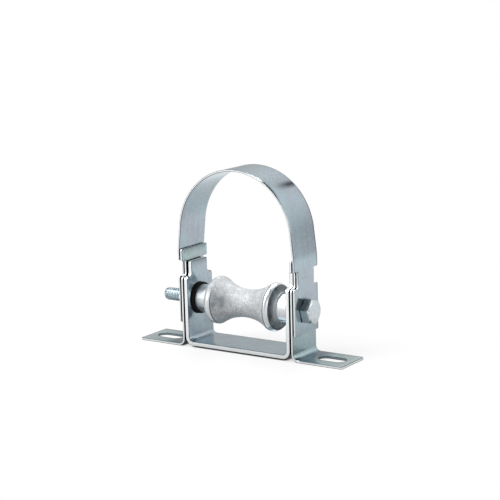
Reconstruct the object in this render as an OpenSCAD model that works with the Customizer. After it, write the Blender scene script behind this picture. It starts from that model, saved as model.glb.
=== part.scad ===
// Pipe roller support: a slotted floor stand with an hourglass roller and a strap over the pipe.
// +X runs along the axle, +Y along the pipe, +Z up. The origin is on the floor, midway between the feet.

/* [Pipe] */
// Outside diameter of the pipe that rests on the roller
pipe_od = 89.1; // [76:0.1:102]
// Free height between the pipe and the strap's crown
pipe_headroom = 0.6; // [0:0.1:6]

/* [Strip] */
// Width of the channel, feet and strap along the pipe
strip_w = 32; // [28:0.5:44]
// Height of the axle above the floor
axle_z = 35; // [31:0.5:45]
// Height of the square shoulders above the axle
shoulder_rise = 18.4; // [17:0.1:20]
// Rounding radius of the channel's and feet's shoulders
shoulder_r = 2.4; // [0.5:0.1:2.5]

/* [Base channel] */
// Clear width between the channel's legs
channel_inner = 86; // [80:0.5:100]
// Thickness of the channel
channel_t = 3.2; // [2:0.1:4]
// Inside radius of the channel's bends
channel_bend_r = 3.3; // [1:0.1:6]
// Height of the channel's underside above the floor
channel_lift = 1.2; // [0:0.1:3]
// Width of the tab on top of each leg
tab_w = 20; // [14:0.5:24]
// Height of each tab above the shoulders
tab_h = 11; // [4:0.5:11.2]

/* [Feet] */
// Thickness of the foot brackets
foot_t = 1.8; // [1.2:0.1:3]
// Gap between the channel's leg and the foot's upright
foot_gap = 0.9; // [0.3:0.1:1]
// Reach of the foot beyond its upright
foot_reach = 40.1; // [36:0.1:60]
// Inside radius of the foot's bend
foot_bend_r = 4; // [1:0.1:6]
// Width of the neck
neck_w = 22; // [16:0.5:26]
// Height of the neck above the shoulders
neck_h = 11.6; // [11.3:0.1:16]
// Height of the T-shaped head on top of the neck
head_plate_h = 9; // [4:0.5:12]
// Width of the floor bolt slot
slot_w = 11; // [7:0.5:14]
// Length of the floor bolt slot
slot_l = 22; // [16:0.5:26]
// Distance from the foot's tip to the middle of the slot
slot_from_tip = 17; // [15:0.5:19]
// Rounding radius of the foot's two outer corners
tip_corner_r = 1.6; // [0.5:0.1:4]

/* [Strap] */
// Thickness of the strap
strap_t = 1.4; // [0.8:0.1:2.4]
// Gap between the foot's upright and the strap
strap_gap = 0.7; // [0.3:0.1:1]
// Width of the strap at its waist
waist_w = 22; // [16:0.5:26]
// Height of the waist above the shoulders
waist_h = 12.2; // [6:0.1:16]
// Rounding radius of the strap's shoulders
notch_r = 0.8; // [0.2:0.1:2]
// Room between the pipe and the strap's arch on each side
arch_room = 3.15; // [1:0.05:5]
// Height above the waist from which the strap's legs lean inwards
lean_rise = 8; // [4:0.5:12]
// Length of the strap's tail below the axle
tail_drop = 16.5; // [10:0.5:20]

/* [Axle] */
// Thread diameter of the axle bolt
bolt_d = 10; // [8:0.5:12]
// Length of the axle bolt under its head
bolt_len = 125; // [118:1:140]
// Width across the flats of the bolt's head and of the nut
hex_af = 17; // [15:0.5:19]
// Height of the bolt's head
bolt_head_h = 7; // [5:0.1:8]
// Turn of the bolt's head about the axle
head_turn = 12.5; // [0:0.5:30]
// Height of the nut
nut_h = 6; // [5:0.1:9]
// Length of the cone on the bolt's tip
bolt_tip_l = 1.8; // [0.5:0.1:3]
// Outside diameter of the distance tube
sleeve_od = 14; // [13:0.1:15]

/* [Roller] */
// Diameter over the two crests
crest_d = 36; // [30:0.5:44]
// Distance between the two crests
crest_span = 49.4; // [40:0.1:54]
// Rounding radius of the crests
crest_r = 5; // [3:0.1:6]
// Diameter at the waist
waist_d = 21; // [19:0.5:24]
// Diameter of the hubs
hub_d = 20.8; // [18.5:0.1:22]
// Diameter of the collar between the hub and the crest
collar_d = 23; // [22.5:0.5:25]
// Length of the collar
collar_l = 1.8; // [0.5:0.1:4]
// Thickness of the thrust washers
washer_t = 2; // [1:0.1:4]
// Diameter of the thrust washers
washer_od = 24; // [20:0.5:28]

/* [Clearances] */
// Radial room of the bolt in the channel, feet and strap
bolt_room = 0.5; // [0.2:0.1:1]
// Radial room of the bolt in the distance tube
sleeve_room = 0.3; // [0.1:0.05:0.5]
// Radial room of the bolt in the nut
thread_room = 0.1; // [0.05:0.05:0.2]
// Radial room of the roller on the distance tube
roller_room = 0.06; // [0.02:0.01:0.1]
// Radial room of the thrust washers on the distance tube
washer_room = 0.15; // [0.05:0.05:0.4]
// Room between a thrust washer and the roller's hub
hub_room = 0.15; // [0.05:0.05:0.5]
// Room at each end of the distance tube
sleeve_end_room = 0.05; // [0.02:0.01:0.2]
// Room under the bolt's head and under the nut
seat_room = 0.1; // [0.02:0.01:0.3]

/* [Hidden] */
$fn = 96;

// Overlap of a cut past the face that it opens
cut = 1;
zinc = [0.70, 0.74, 0.78];
zinc_edge = [0.80, 0.82, 0.84];
cast_grey = [0.78, 0.78, 0.77];
black = [0.06, 0.06, 0.07];

// Faces across the axle, counted outwards from the middle
channel_in = channel_inner / 2;
channel_out = channel_in + channel_t;
foot_in = channel_out + foot_gap;
foot_out = foot_in + foot_t;
foot_tip = foot_out + foot_reach;
strap_in = foot_out + strap_gap;
strap_out = strap_in + strap_t;
seat = strap_out + seat_room;

// Heights
shoulder_z = axle_z + shoulder_rise;
tab_top = shoulder_z + tab_h;
neck_top = shoulder_z + neck_h;
foot_top = neck_top + head_plate_h;
waist_top = shoulder_z + waist_h;
crown_in = axle_z + waist_d / 2 + pipe_od + pipe_headroom;
arch_r = pipe_od / 2 + arch_room;
arch_z = crown_in - arch_r;
lean_z = waist_top + lean_rise;
// Lean of the strap's legs: each is tangent to the arch and meets the straight tail at lean_z
lean = atan2(lean_z - arch_z, strap_in) + acos(arch_r / norm([strap_in, lean_z - arch_z]));

// Roller profile: a concave saddle that runs tangent into two round crests
roller_half = channel_in - washer_t - hub_room;
crest_x = crest_span / 2;
crest_rise = (crest_d - waist_d) / 2;
crest_axis = crest_d / 2 - crest_r;
saddle_r = (pow(crest_x, 2) + pow(crest_r - crest_rise, 2) - pow(crest_r, 2)) / (2 * crest_rise);
saddle_axis = waist_d / 2 + saddle_r;
blend_share = crest_r / (crest_r + saddle_r);
blend_x = crest_x * (1 - blend_share);
blend_y = crest_axis + (saddle_axis - crest_axis) * blend_share;
collar_out = crest_x + crest_r + collar_l;
bore_r = sleeve_od / 2 + roller_room;

// Turns a body that was made along +Z so that it lies along +X
module along_axle() {
    rotate([0, 90, 0]) children();
}

// Raises an outline drawn in X and Z to a strip that is centred on the pipe's line
module strip(w = strip_w) {
    translate([0, w / 2, 0]) rotate([90, 0, 0]) linear_extrude(w) children();
}

// Hole for the axle bolt through both sides
module axle_hole(r) {
    translate([-foot_tip, 0, axle_z]) along_axle() cylinder(r = r, h = 2 * foot_tip);
}

// Outline in Y and Z of the cut that narrows a strip's +Y side to a width between two heights: a fillet at the
// foot of the neck and a rounded shoulder
module side_cut(w, z0, z1, r) {
    edge = strip_w / 2;
    translate([w / 2, z0 + r]) square([edge, z1 - z0 - r]);
    translate([w / 2 + r, z0]) square([edge, z1 - z0]);
    translate([w / 2 + r, z0 + r]) circle(r);
    translate([edge - r, z0 - r]) difference() {
        square(r + cut);
        circle(r);
    }
}

// Cuts that narrow a strip on both sides
module narrow_to(w, z0, z1, r) {
    translate([-foot_tip, 0, 0]) rotate([90, 0, 90]) linear_extrude(2 * foot_tip) {
        side_cut(w, z0, z1, r);
        mirror([1, 0]) side_cut(w, z0, z1, r);
    }
}

// Outline of a trough with two rounded lower corners
module trough(half, z0, z1, r) {
    translate([-half, z0 + r]) square([2 * half, z1 - z0 - r]);
    translate([-half + r, z0]) square([2 * (half - r), r + cut]);
    for (s = [-1, 1]) translate([s * (half - r), z0 + r]) circle(r);
}

module base_channel() {
    floor_z = channel_lift + channel_t;
    color(zinc) difference() {
        strip() difference() {
            trough(channel_out, channel_lift, tab_top, channel_bend_r + channel_t);
            trough(channel_in, floor_z, tab_top + cut, channel_bend_r);
        }
        narrow_to(tab_w, shoulder_z, tab_top + cut, shoulder_r);
        axle_hole(bolt_d / 2 + bolt_room);
    }
}

// Outline of the right foot: upright, quarter bend and foot
module foot_outline() {
    bend_out = foot_bend_r + foot_t;
    translate([foot_in, bend_out]) square([foot_t, foot_top - bend_out]);
    translate([foot_in + bend_out, 0]) square([foot_tip - foot_in - bend_out, foot_t]);
    translate([foot_in + bend_out, bend_out]) intersection() {
        difference() {
            circle(bend_out);
            circle(foot_bend_r);
        }
        translate([-bend_out, -bend_out]) square(bend_out);
    }
}

module floor_slot() {
    half = (slot_l - slot_w) / 2;
    translate([foot_tip - slot_from_tip, 0, -cut]) {
        for (s = [-1, 1]) translate([s * half, 0, 0]) cylinder(d = slot_w, h = foot_t + 2 * cut);
        translate([-half, -slot_w / 2, 0]) cube([2 * half, slot_w, foot_t + 2 * cut]);
    }
}

// Rounds the two outer corners of the foot
module tip_rounds() {
    place = [foot_tip - tip_corner_r, strip_w / 2 - tip_corner_r];
    translate([0, 0, -cut]) linear_extrude(foot_t + 2 * cut) for (s = [0, 1]) mirror([0, s])
        translate(place) difference() {
            square(tip_corner_r + cut);
            circle(tip_corner_r);
        }
}

module foot_bracket() {
    color(zinc) difference() {
        strip() foot_outline();
        narrow_to(neck_w, shoulder_z, neck_top, shoulder_r);
        axle_hole(bolt_d / 2 + bolt_room);
        floor_slot();
        tip_rounds();
    }
}

module foot_right() {
    foot_bracket();
}

module foot_left() {
    mirror([1, 0, 0]) foot_bracket();
}

// Outline of an arch: straight tails, leaning legs and a round crown, t outside the strap's inner face
module arch(t, z0) {
    r = arch_r + t;
    half = strap_in + t;
    bend_z = lean_z + t * tan(lean / 2);
    top_z = arch_z + r * sin(lean);
    polygon([[-half, z0], [half, z0], [half, bend_z], [r * cos(lean), top_z],
             [-r * cos(lean), top_z], [-half, bend_z]]);
    translate([0, arch_z]) circle(r);
}

module strap() {
    tail_z = axle_z - tail_drop;
    color(zinc) difference() {
        strip() difference() {
            arch(strap_t, tail_z);
            arch(0, tail_z - cut);
        }
        narrow_to(waist_w, shoulder_z, waist_top, notch_r);
        axle_hole(bolt_d / 2 + bolt_room);
    }
}

// Half of the roller's outline, drawn with the radius along X and the axle along Y
module roller_outline_half() {
    square([hub_d / 2, roller_half]);
    square([collar_d / 2, collar_out]);
    square([crest_axis, crest_x + crest_r]);
    translate([crest_axis, crest_x]) circle(crest_r);
    polygon([[0, 0], [blend_y, 0], [blend_y, blend_x], [crest_axis, crest_x], [0, crest_x]]);
}

module roller() {
    color(cast_grey) translate([0, 0, axle_z]) along_axle() rotate_extrude() difference() {
        union() {
            roller_outline_half();
            mirror([0, 1]) roller_outline_half();
        }
        translate([saddle_axis, 0]) circle(saddle_r);
        translate([-crest_r - cut, -roller_half - cut])
            square([bore_r + crest_r + cut, 2 * (roller_half + cut)]);
    }
}

// Six-sided block with the corners of its outer face turned off
module hex_block(h, turn = 0) {
    corner_r = hex_af / 2 / cos(30);
    turned = h - (corner_r - hex_af / 2) * tan(30);
    rotate([0, 0, 30 - turn]) intersection() {
        cylinder(r = corner_r, h = h, $fn = 6);
        union() {
            cylinder(r = corner_r, h = turned);
            translate([0, 0, turned]) cylinder(r1 = corner_r, r2 = hex_af / 2, h = h - turned);
        }
    }
}

module axle_bolt() {
    tip_r = bolt_d / 2 - bolt_tip_l / 2;
    color(zinc_edge) translate([seat, 0, axle_z]) {
        along_axle() hex_block(bolt_head_h, head_turn);
        along_axle() translate([0, 0, bolt_tip_l - bolt_len]) cylinder(d = bolt_d, h = bolt_len - bolt_tip_l);
        along_axle() translate([0, 0, -bolt_len]) cylinder(r1 = tip_r, r2 = bolt_d / 2, h = bolt_tip_l);
    }
}

module axle_nut() {
    color(zinc_edge) translate([-seat, 0, axle_z]) rotate([0, -90, 0]) difference() {
        hex_block(nut_h);
        translate([0, 0, -cut]) cylinder(r = bolt_d / 2 + thread_room, h = nut_h + 2 * cut);
    }
}

// Plain ring on the axle, from one place along it to another
module axle_ring(r_in, r_out, x0, x1) {
    translate([x0, 0, axle_z]) along_axle() difference() {
        cylinder(r = r_out, h = x1 - x0);
        translate([0, 0, -cut]) cylinder(r = r_in, h = x1 - x0 + 2 * cut);
    }
}

module axle_sleeve() {
    half = channel_in - sleeve_end_room;
    color(zinc_edge) axle_ring(bolt_d / 2 + sleeve_room, sleeve_od / 2, -half, half);
}

module thrust_washer_right() {
    color(black) axle_ring(sleeve_od / 2 + washer_room, washer_od / 2, channel_in - washer_t, channel_in);
}

module thrust_washer_left() {
    mirror([1, 0, 0]) thrust_washer_right();
}

base_channel();
foot_left();
foot_right();
strap();
roller();
axle_bolt();
axle_nut();
axle_sleeve();
thrust_washer_left();
thrust_washer_right();
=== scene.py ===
"""Finished look of a pipe roller support: plated strip, cast roller, bolt, nut and washers."""
import math

import bmesh
import bpy
from mathutils import Matrix, Vector


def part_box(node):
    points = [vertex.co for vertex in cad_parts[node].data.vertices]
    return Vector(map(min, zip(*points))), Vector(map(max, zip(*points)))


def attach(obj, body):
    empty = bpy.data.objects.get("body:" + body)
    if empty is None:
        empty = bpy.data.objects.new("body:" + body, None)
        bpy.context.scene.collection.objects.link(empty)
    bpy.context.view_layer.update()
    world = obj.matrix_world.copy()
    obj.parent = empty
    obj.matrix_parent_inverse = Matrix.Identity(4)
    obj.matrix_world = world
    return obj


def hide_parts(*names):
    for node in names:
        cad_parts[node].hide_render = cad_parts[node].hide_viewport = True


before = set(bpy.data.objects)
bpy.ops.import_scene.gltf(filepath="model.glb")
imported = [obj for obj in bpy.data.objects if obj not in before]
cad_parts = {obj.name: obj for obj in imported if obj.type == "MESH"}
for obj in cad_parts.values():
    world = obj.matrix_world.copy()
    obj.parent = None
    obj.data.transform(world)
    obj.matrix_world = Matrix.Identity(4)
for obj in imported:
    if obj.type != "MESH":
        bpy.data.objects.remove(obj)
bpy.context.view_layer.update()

MM = 0.001
QUARTER = math.pi / 2

# Sizes read from the frame
STRAP_LOW, STRAP_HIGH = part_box("strap")
CHANNEL_LOW, CHANNEL_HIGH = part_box("base_channel")
FOOT_LOW, FOOT_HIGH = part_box("foot_right")
ROLLER_LOW, ROLLER_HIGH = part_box("roller")
BOLT_LOW, BOLT_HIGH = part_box("axle_bolt")
NUT_LOW, NUT_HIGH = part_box("axle_nut")
SLEEVE_LOW, SLEEVE_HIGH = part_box("axle_sleeve")
WASHER_LOW, WASHER_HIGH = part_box("thrust_washer_right")
AXLE_Z = (ROLLER_LOW.z + ROLLER_HIGH.z) / 2
STRIP_HALF = STRAP_HIGH.y

# Strip: thicknesses, inside bend radii and the heights of the stepped uprights
CHANNEL_T = 3.2 * MM
FOOT_T = 1.8 * MM
STRAP_T = 1.4 * MM
CHANNEL_BEND_R = 3.3 * MM
FOOT_BEND_R = 4.0 * MM
FOOT_FLAT_HALF = (FOOT_HIGH.x - FOOT_LOW.x - FOOT_T - FOOT_BEND_R) / 2
ARCH_R = 47.7 * MM
LEAN_Z = 73.6 * MM
LEAN_BEND_R = 60.0 * MM
SHOULDER_Z = 53.4 * MM
NECK_TOP_Z = 65.0 * MM
WAIST_TOP_Z = 65.6 * MM
TAB_HALF = 10.0 * MM
NECK_HALF = 11.0 * MM
WAIST_HALF = 11.0 * MM
AXLE_HOLE_R = 5.5 * MM
SLOT_HALF_W = 5.5 * MM
SLOT_HALF_L = 11.0 * MM
SLOT_FROM_TIP = 17.0 * MM
CORNER_R = 0.8 * MM
SHOULDER_R = 2.4 * MM
TIP_CORNER_R = 1.6 * MM
EDGE_R = 0.35 * MM

# Axle: bolt, nut and tube
BOLT_R = 5.0 * MM
HEX_HALF = 8.5 * MM
HEAD_TURN = math.radians(-12.5)
BOLT_HEAD_H = 7.0 * MM
HEX_FACE_SHARE = 0.91
HEX_DISC_SHARE = 0.3
CHAMFER_ANGLE = math.radians(30)
WASHER_FACE_H = 0.4 * MM
THREAD_PITCH = 1.5 * MM
THREAD_DEPTH = 0.85 * MM
THREAD_L = 30.0 * MM
TIP_CONE_L = 1.8 * MM
TIP_CONE_SLOPE = 0.5
THREAD_FLANK = (0.1, 0.8)
THREAD_RUN_OUT = (0.5, 2.0)
TUBE_BORE_R = 5.3 * MM
NUT_BORE_R = 5.1 * MM

# Roller
CREST_HALF_SPAN = 24.7 * MM
CREST_R = 5.0 * MM
ROLLER_WAIST_R = 10.5 * MM
HUB_R = 10.4 * MM
COLLAR_R = 11.5 * MM
COLLAR_L = 1.8 * MM
ROLLER_BORE_R = 7.06 * MM
WASHER_BORE_R = 7.15 * MM
RING_EDGE_R = 0.3 * MM

# How finely shapes are divided
SAME_POINT = 1e-7
SEAM_GAP = 1e-6
EDGE_STEPS = 3
CORNER_STEPS = 5
HOLE_STEPS = 24
ARCH_ROWS = 96
LEAN_ROWS = 5
BEND_ROWS = 14
SADDLE_STEPS = 20
CREST_STEPS = 18
FILLET_STEPS = 5
ROUND_STEPS = 4
ROLLER_SEGMENTS = 128
RING_SEGMENTS = 96
HEX_SEGMENTS = 96
THREAD_SEGMENTS = 72
THREAD_ROWS_PER_TURN = 14
STRIP_SHARP_ANGLE = 35
HEX_SHARP_ANGLE = 28

# Finish of the strip. Along, across and through are places on the flat blank, the others on the part.
ROLLED_STRETCH = (18, 1500, 1500)
EVEN_STRETCH = (600, 600, 600)
HOLE_WALL_SHADE = 0.35
# Painted dark reflection on the strap's outer face: a spot across it and a line along its far edge.
STRAP_REFLECTION_ALONG = -34.3 * MM
STRAP_REFLECTION_FADE = (0.5 * MM, 4.2 * MM)
STRAP_REFLECTION_ACROSS = (-10.0 * MM, 8.0 * MM)
FAR_EDGE_ACROSS = (14.3 * MM, 15.3 * MM)
FAR_EDGE_SHARE = 0.75
# Painted highlight towards a foot's tip, and painted dark reflection of the upright before its bend.
TIP_HIGHLIGHT_ALONG = (-16.0 * MM, -2.0 * MM)
TIP_HIGHLIGHT_SHARE = 0.55
BEND_REFLECTION_FROM_ALONG = (2.0 * MM, 12.0 * MM)
BEND_REFLECTION_TO_ALONG = (FOOT_FLAT_HALF + 1.0 * MM, FOOT_FLAT_HALF + 4.0 * MM)
BEND_REFLECTION_SHARE = 0.85
# Places where the painted shade on rounded edges is lighter.
UPRIGHT_FROM_X = (48.8 * MM, 49.6 * MM)
UPRIGHT_TO_X = (53.5 * MM, 54.5 * MM)
LESS_EDGE_SHADE_LOW_Z = (55.0 * MM, 58.0 * MM)
ARCH_FROM_X = (10.0 * MM, 20.0 * MM)
LESS_EDGE_SHADE_ARCH_Z = (85.0 * MM, 100.0 * MM)
LESS_EDGE_SHADE_ARCH_SHARE = 0.75
# Painted shade, from ambient occlusion, on strip faces that other fixed strips cover closely.
GAP_SHADE_REACH = 12.0 * MM
GAP_SHADE_RANGE = (0.16, 0.50)
GAP_SHADE_SHARE = 0.95
STRIP_RELIEF = 0.02 * MM
STEEL_RELIEF = 0.015 * MM

# Finish of the roller. Out is the distance along the axle from the middle of its finish.
FINISH_MIDDLE_X = 0.9 * MM
BAND_FROM_OUT = (23.7 * MM, 23.9 * MM)
BAND_TO_OUT = (26.8 * MM, 27.1 * MM)
# Painted shade on the right crest's outer flank starts here; FLANK_RADII grades it from dark to light.
FLANK_FROM_OUT = (26.8 * MM, 27.2 * MM)
HUB_FROM_OUT = (30.9 * MM, 31.2 * MM)
# Painted shade of a groove line at the inner edge of each band; the shape has no groove there.
GROOVE_SHADE_OUT = 23.3 * MM
GROOVE_SHADE_FADE = (0.2 * MM, 0.4 * MM)
RIGHT_FROM_X = (-1.0 * MM, 1.0 * MM)
CAST_SKIN_Z = (41.0 * MM, 46.0 * MM)
FLANK_RADII = (11.5 * MM, 16.5 * MM)
# Painted dark reflection on the left of the saddle, where it faces the front.
SADDLE_REFLECTION_PLACE = (-18.0 * MM, -15.0 * MM, 37.5 * MM)
SADDLE_REFLECTION_FADE = (1.0 * MM, 13.0 * MM)
CAST_RELIEF = 0.09 * MM
WASHER_RELIEF = 0.04 * MM

# Photograph's camera, from a fit of the object's own corners
CAMERA_AZIMUTH = math.radians(34.11)
CAMERA_ELEVATION = math.radians(11.69)
CAMERA_ROLL = math.radians(-1.50)
CAMERA_DISTANCE = 1105.73 * MM
CAMERA_TARGET = Vector((0, 0, 65 * MM))
FRAME_PX = 500
FOCAL_PX = 1504.33
CENTRE_PX = (246.80, 263.53)
SENSOR_MM = 36


def add(tree, kind, inputs=None, **settings):
    """Adds a node. Each input is a socket to link or a plain value."""
    node = tree.nodes.new(kind)
    for name, value in settings.items():
        setattr(node, name, value)
    for key, value in (inputs or {}).items():
        if isinstance(value, bpy.types.NodeSocket):
            tree.links.new(value, node.inputs[key])
        else:
            node.inputs[key].default_value = value
    return node


def math_node(tree, operation, *values):
    """Result of a Math node on sockets or plain values."""
    return add(tree, "ShaderNodeMath", dict(enumerate(values)), operation=operation).outputs[0]


def apart(tree, first, second):
    """Distance between two values."""
    return math_node(tree, "ABSOLUTE", math_node(tree, "SUBTRACT", first, second))


def multiply(tree, first, second):
    """Product of two sockets or plain values."""
    return math_node(tree, "MULTIPLY", first, second)


def mix_colour(tree, factor, first, second, blend="MIX"):
    """Result of a colour Mix node."""
    inputs = {0: factor, 6: first, 7: second}
    return add(tree, "ShaderNodeMix", inputs, data_type="RGBA", blend_type=blend).outputs[2]


def remap(tree, value, low, high, new_low, new_high):
    """Result of a clamped Map Range node."""
    inputs = {0: value, 1: low, 2: high, 3: new_low, 4: new_high}
    return add(tree, "ShaderNodeMapRange", inputs, clamp=True).outputs[0]


def rising(tree, value, span):
    """Share that goes from 0 to 1 over a span of values."""
    return remap(tree, value, *span, 0.0, 1.0)


def falling(tree, value, span):
    """Share that goes from 1 to 0 over a span of values."""
    return remap(tree, value, *span, 1.0, 0.0)


def between(tree, share, first, second):
    """Value that goes from the first to the second as a share goes from 0 to 1."""
    return remap(tree, share, 0.0, 1.0, first, second)


def axes_of(tree, place):
    """The X, Y and Z of a place."""
    return add(tree, "ShaderNodeSeparateXYZ", {0: place}).outputs


def noise(tree, place, scale, detail, roughness=0.5, distortion=0.0):
    """Value of a noise texture at a place."""
    inputs = {"Vector": place, "Scale": scale, "Detail": detail, "Roughness": roughness,
              "Distortion": distortion}
    return add(tree, "ShaderNodeTexNoise", inputs).outputs[0]


def openness(tree, reach):
    """Share of the surroundings within a reach that is open."""
    return add(tree, "ShaderNodeAmbientOcclusion", {"Distance": reach}, samples=16).outputs["AO"]


def vector_node(tree, operation, *values):
    """Results of a Vector Math node on sockets or plain values."""
    return add(tree, "ShaderNodeVectorMath", dict(enumerate(values)), operation=operation).outputs


def length_from(tree, place, centre, spread):
    """Distance of a place from a centre, with each axis counted by its share in spread."""
    offset = vector_node(tree, "SUBTRACT", place, centre)[0]
    return vector_node(tree, "LENGTH", vector_node(tree, "MULTIPLY", offset, spread)[0])["Value"]


def rgb(red, green, blue):
    """Linear colour from the 0 to 255 values that a screen shows."""
    def linear(value):
        share = value / 255
        return share / 12.92 if share <= 0.04045 else ((share + 0.055) / 1.055) ** 2.4
    return (linear(red), linear(green), linear(blue), 1.0)


# Node trees that make geometry

def geometry_tree(name, inputs):
    """Empty Geometry Nodes tree with named inputs, and its input and output nodes."""
    tree = bpy.data.node_groups.new(name, "GeometryNodeTree")
    tree.interface.new_socket("Geometry", in_out="INPUT", socket_type="NodeSocketGeometry")
    for label, kind in inputs.items():
        tree.interface.new_socket(label, in_out="INPUT", socket_type="NodeSocket" + kind)
    tree.interface.new_socket("Geometry", in_out="OUTPUT", socket_type="NodeSocketGeometry")
    return tree, tree.nodes.new("NodeGroupInput").outputs, tree.nodes.new("NodeGroupOutput")


def finished(tree, geometry, finish, result):
    """Ends a tree: its geometry made real, in its finish."""
    whole = add(tree, "GeometryNodeRealizeInstances", {"Geometry": geometry}).outputs[0]
    done = add(tree, "GeometryNodeSetMaterial", {"Geometry": whole, "Material": finish}).outputs[0]
    tree.links.new(done, result.inputs[0])


def press_brake_tree():
    """Bends a flat blank, drawn in X and Y, up at both ends of its flat middle.

    Each end takes a first bend, a straight run and a second bend that brings it upright.
    """
    sizes = {"Flat Half": "Float", "Inside Radius": "Float", "First Bend": "Float", "Straight Run": "Float",
             "Second Radius": "Float", "Thickness": "Float", "Turn": "Rotation", "Place": "Vector",
             "Finish": "Material"}
    tree, given, result = geometry_tree("press_brake", sizes)

    def value(operation, *values):
        return math_node(tree, operation, *values)

    place = add(tree, "GeometryNodeInputPosition").outputs[0]
    kept = add(tree, "GeometryNodeStoreNamedAttribute",
               {"Geometry": given["Geometry"], "Name": "blank", "Value": place},
               data_type="FLOAT_VECTOR", domain="POINT").outputs[0]
    along, across, through = axes_of(tree, place)
    half, sheet, first_bend = given["Flat Half"], given["Thickness"], given["First Bend"]
    distance = value("ABSOLUTE", along)
    past = value("MAXIMUM", value("SUBTRACT", distance, half), 0.0)
    first_mid = value("MULTIPLY_ADD", sheet, 0.5, given["Inside Radius"])
    first = value("MINIMUM", value("DIVIDE", past, first_mid), first_bend)
    after_first = value("MAXIMUM", value("SUBTRACT", past, value("MULTIPLY", first_mid, first_bend)), 0.0)
    straight = value("MINIMUM", after_first, given["Straight Run"])
    after_run = value("MAXIMUM", value("SUBTRACT", after_first, given["Straight Run"]), 0.0)
    second_mid = value("MULTIPLY_ADD", sheet, 0.5, given["Second Radius"])
    second_bend = value("SUBTRACT", QUARTER, first_bend)
    second = value("MINIMUM", value("DIVIDE", after_run, second_mid), second_bend)
    leg = value("MAXIMUM", value("SUBTRACT", after_run, value("MULTIPLY", second_mid, second_bend)), 0.0)
    centre_z = value("ADD", sheet, given["Inside Radius"])
    first_r = value("SUBTRACT", centre_z, through)
    second_r = value("SUBTRACT", value("ADD", sheet, given["Second Radius"]), through)
    both = value("ADD", first, second)
    sine, cosine = value("SINE", first), value("COSINE", first)
    out_first = value("MULTIPLY_ADD", first_r, sine, value("MINIMUM", distance, half))
    out_run = value("MULTIPLY_ADD", straight, cosine, out_first)
    reach = value("MULTIPLY_ADD", second_r, value("SUBTRACT", value("SINE", both), sine), out_run)
    up_first = value("SUBTRACT", centre_z, value("MULTIPLY", first_r, cosine))
    up_run = value("MULTIPLY_ADD", straight, sine, up_first)
    up_second = value("MULTIPLY_ADD", second_r, value("SUBTRACT", cosine, value("COSINE", both)), up_run)
    x = value("MULTIPLY", value("SIGN", along), reach)
    bent = add(tree, "ShaderNodeCombineXYZ", {0: x, 1: across, 2: value("ADD", up_second, leg)}).outputs[0]
    moved = add(tree, "GeometryNodeSetPosition", {"Geometry": kept, "Position": bent}).outputs[0]
    placed = add(tree, "GeometryNodeTransform",
                 {"Geometry": moved, "Translation": given["Place"], "Rotation": given["Turn"]}).outputs[0]
    finished(tree, placed, given["Finish"], result)
    return tree


def turned_grid(tree, rows, segments):
    """Grid whose rows become rings round the axle: the grid, each point's row and its angle."""
    columns = math_node(tree, "ADD", segments, 1.0)
    grid = add(tree, "GeometryNodeMeshGrid", {"Vertices X": rows, "Vertices Y": columns}).outputs[0]
    index = add(tree, "GeometryNodeInputIndex").outputs[0]
    row = math_node(tree, "FLOOR", math_node(tree, "DIVIDE", math_node(tree, "ADD", index, 0.5), columns))
    column = math_node(tree, "SUBTRACT", index, multiply(tree, row, columns))
    angle = multiply(tree, math_node(tree, "DIVIDE", column, segments), math.tau)
    return grid, row, angle


def closed_round(tree, grid, x, radius, angle, given, result):
    """Puts a grid's points round the axle, closes its seam and gives it its finish."""
    y = multiply(tree, radius, math_node(tree, "COSINE", angle))
    rise = multiply(tree, radius, math_node(tree, "SINE", angle))
    z = math_node(tree, "ADD", rise, given["Axle Height"])
    point = add(tree, "ShaderNodeCombineXYZ", {0: x, 1: y, 2: z}).outputs[0]
    moved = add(tree, "GeometryNodeSetPosition", {"Geometry": grid, "Position": point}).outputs[0]
    sealed = add(tree, "GeometryNodeMergeByDistance", {"Geometry": moved, "Distance": SEAM_GAP}).outputs[0]
    finished(tree, sealed, given["Finish"], result)


def lathe_tree():
    """Turns an outline, drawn with the axle along X and the radius along Y, round the axle."""
    sizes = {"Segments": "Int", "Axle Height": "Float", "Finish": "Material"}
    tree, given, result = geometry_tree("lathe", sizes)
    outline = given["Geometry"]
    count = add(tree, "GeometryNodeAttributeDomainSize", {"Geometry": outline}).outputs["Point Count"]
    grid, row, angle = turned_grid(tree, count, given["Segments"])
    place = add(tree, "GeometryNodeInputPosition").outputs[0]
    point = add(tree, "GeometryNodeSampleIndex", {"Geometry": outline, "Value": place, "Index": row},
                data_type="FLOAT_VECTOR", domain="POINT").outputs[0]
    x, radius, _ = axes_of(tree, point)
    closed_round(tree, grid, x, radius, angle, given, result)
    return tree


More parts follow.
